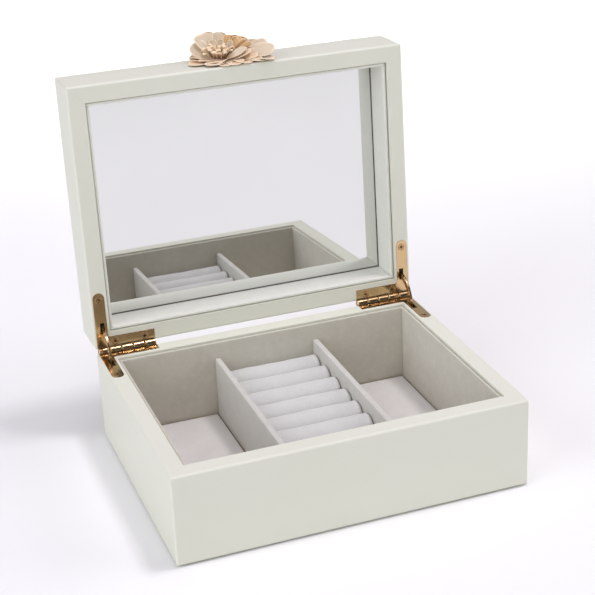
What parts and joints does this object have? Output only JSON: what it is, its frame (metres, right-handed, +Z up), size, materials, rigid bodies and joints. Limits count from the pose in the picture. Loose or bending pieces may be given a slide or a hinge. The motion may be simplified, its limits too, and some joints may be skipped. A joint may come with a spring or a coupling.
{
  "type": "jewellery box",
  "caption": "Lacquered wooden jewellery box, mirror in its hinged lid, velvet ring rolls between open compartments, fabric flower on the lid's front edge",
  "frame": {"origin": "middle of the base's underside", "axes": "+X to the right, +Y towards the hinge side, +Z up; at rest the lid stands open on its stops"},
  "size_m": [0.18, 0.1829, 0.2061],
  "materials": {
    "lacquer": "satin ivory lacquer on fibreboard",
    "panel_wood": "plain fibreboard",
    "felt": "dark felt",
    "lining_fabric": "matt grey fabric on card",
    "divider_fabric": "matt grey fabric on board",
    "pad_fabric": "short velvet on card",
    "roll_velvet": "short velvet on foam",
    "roll_board": "board",
    "backing_board": "adhesive board",
    "mirror": "polished mirror glass",
    "hinge_metal": "polished rose gold plate",
    "petal_fabric": "stiffened peach fabric",
    "stamen_fabric": "stiffened cream fabric"
  },
  "bodies": {
    "base": {"bottom_felt": "felt", "base_bottom_panel": "panel_wood", "base_front_wall": "lacquer", "base_back_wall": "lacquer", "base_left_wall": "lacquer", "base_right_wall": "lacquer", "base_front_lining": "lining_fabric", "base_back_lining": "lining_fabric", "base_left_lining": "lining_fabric", "base_right_lining": "lining_fabric", "left_divider": "divider_fabric", "right_divider": "divider_fabric", "left_floor_pad": "pad_fabric", "right_floor_pad": "pad_fabric", "roll_base": "roll_board", "ring_roll_1": "roll_velvet", "ring_roll_2": "roll_velvet", "ring_roll_3": "roll_velvet", "ring_roll_4": "roll_velvet", "ring_roll_5": "roll_velvet", "ring_roll_6": "roll_velvet", "ring_roll_7": "roll_velvet", "ring_roll_8": "roll_velvet", "left_base_leaf": "hinge_metal", "left_hinge_pin": "hinge_metal", "left_base_leaf_screws": "hinge_metal", "right_base_leaf": "hinge_metal", "right_hinge_pin": "hinge_metal", "right_base_leaf_screws": "hinge_metal"},
    "lid": {"lid_top_panel": "lacquer", "lid_front_wall": "lacquer", "lid_back_wall": "lacquer", "lid_left_wall": "lacquer", "lid_right_wall": "lacquer", "mirror_backing": "backing_board", "mirror": "mirror", "lid_front_lining": "lining_fabric", "lid_back_lining": "lining_fabric", "lid_left_lining": "lining_fabric", "lid_right_lining": "lining_fabric", "flower_backing": "petal_fabric", "flower_outer_petals": "petal_fabric", "flower_inner_petals": "petal_fabric", "flower_stamens": "stamen_fabric", "left_lid_leaf": "hinge_metal", "left_lid_leaf_screws": "hinge_metal", "right_lid_leaf": "hinge_metal", "right_lid_leaf_screws": "hinge_metal"},
    "stay_left": {"left_stay": "hinge_metal", "left_stay_stop_pins": "hinge_metal"},
    "stay_right": {"right_stay": "hinge_metal", "right_stay_stop_pins": "hinge_metal"}
  },
  "joints": [
    {"name": "lid_hinge", "type": "hinge", "parent": "base", "child": "lid", "pos_m": [0, 0.0716, 0.04755], "axis": [1, 0, 0], "range_deg": [0, 92.9]},
    {"name": "left_stay_swing", "type": "hinge", "parent": "base", "child": "stay_left", "pos_m": [0, 0.0716, 0.04755], "axis": [1, 0, 0], "range_deg": [0, 46.45]},
    {"name": "right_stay_swing", "type": "hinge", "parent": "base", "child": "stay_right", "pos_m": [0, 0.0716, 0.04755], "axis": [1, 0, 0], "range_deg": [0, 46.45]}
  ],
  "couplings": [
    {"joint": "left_stay_swing", "follows": "lid_hinge", "ratio": 0.5},
    {"joint": "right_stay_swing", "follows": "lid_hinge", "ratio": 0.5}
  ]
}
